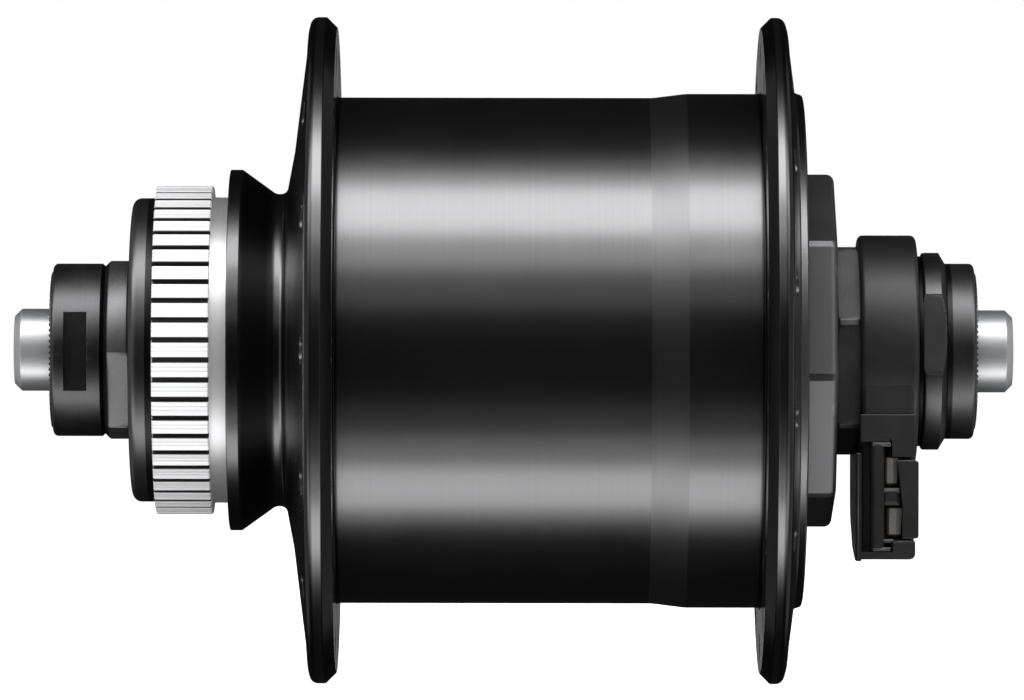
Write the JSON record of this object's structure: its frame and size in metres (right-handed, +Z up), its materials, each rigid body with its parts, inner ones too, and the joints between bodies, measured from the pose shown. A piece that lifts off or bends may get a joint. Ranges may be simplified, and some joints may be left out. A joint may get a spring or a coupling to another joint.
{
  "type": "dynamo front hub",
  "caption": "Bicycle front hub with a wide barrel, two drilled spoke flanges, a splined disc mount and a side connector for its built-in generator.",
  "frame": {"origin": "on the axle's centre line, midway between the two lock-nut faces", "axes": "+Y along the axle towards the brake-disc side, the rider's left; +X forward; +Z up, with the connector block hanging down"},
  "size_m": [0.0722, 0.108, 0.0722],
  "materials": {
    "satin_axle_steel": "satin turned steel",
    "dark_nut_steel": "black plated steel, satin",
    "dark_cone_steel": "dark hardened steel, ground",
    "black_block_plastic": "moulded, matte",
    "contact_metal": "dull plated contact",
    "lamination_steel": "stamped electrical steel",
    "bobbin_plastic": "natural nylon",
    "winding_copper": "enamelled copper wire",
    "zinc_nut_steel": "zinc plated",
    "lead_insulation": "insulated lead",
    "black_anodised_aluminium": "glossy black anodised",
    "bright_spline_aluminium": "bright machined",
    "black_cap_aluminium": "satin black",
    "bearing_steel": "hardened and polished",
    "ferrite_magnet": "ferrite"
  },
  "bodies": {
    "axle_assembly": {"axle": "satin_axle_steel", "brake_side_lock_nut": "dark_nut_steel", "connector_side_lock_nut": "dark_nut_steel", "connector_washer": "dark_nut_steel", "brake_side_cone": "dark_cone_steel", "connector_side_cone": "dark_cone_steel", "connector_block": "black_block_plastic", "upper_terminal_blade": "contact_metal", "lower_terminal_blade": "contact_metal", "stator_core": "lamination_steel", "brake_side_claw_yoke": "lamination_steel", "connector_side_claw_yoke": "lamination_steel", "coil_bobbin": "bobbin_plastic", "coil_winding": "winding_copper", "stator_nuts": "zinc_nut_steel", "stator_lead": "lead_insulation"},
    "hub_shell_assembly": {"hub_shell": "black_anodised_aluminium", "disc_spline_ring": "bright_spline_aluminium", "dust_cap": "black_cap_aluminium", "end_cover": "black_cap_aluminium", "brake_side_cup": "bearing_steel", "connector_side_cup": "bearing_steel", "magnet_back_ring": "lamination_steel", "rotor_magnets": "ferrite_magnet"},
    "brake_side_ball_set": {"brake_side_balls": "bearing_steel"},
    "connector_side_ball_set": {"connector_side_balls": "bearing_steel"}
  },
  "joints": [
    {"name": "hub_spin", "type": "hinge", "parent": "axle_assembly", "child": "hub_shell_assembly", "pos_m": [0, 0, 0], "axis": [0, 1, 0], "continuous": true},
    {"name": "brake_side_ball_orbit", "type": "hinge", "parent": "axle_assembly", "child": "brake_side_ball_set", "pos_m": [0, 0.0345, 0], "axis": [0, 1, 0], "continuous": true},
    {"name": "connector_side_ball_orbit", "type": "hinge", "parent": "axle_assembly", "child": "connector_side_ball_set", "pos_m": [0, -0.029, 0], "axis": [0, 1, 0], "continuous": true}
  ],
  "couplings": [
    {"joint": "brake_side_ball_orbit", "follows": "hub_spin", "ratio": 0.59354},
    {"joint": "connector_side_ball_orbit", "follows": "hub_spin", "ratio": 0.59354}
  ]
}
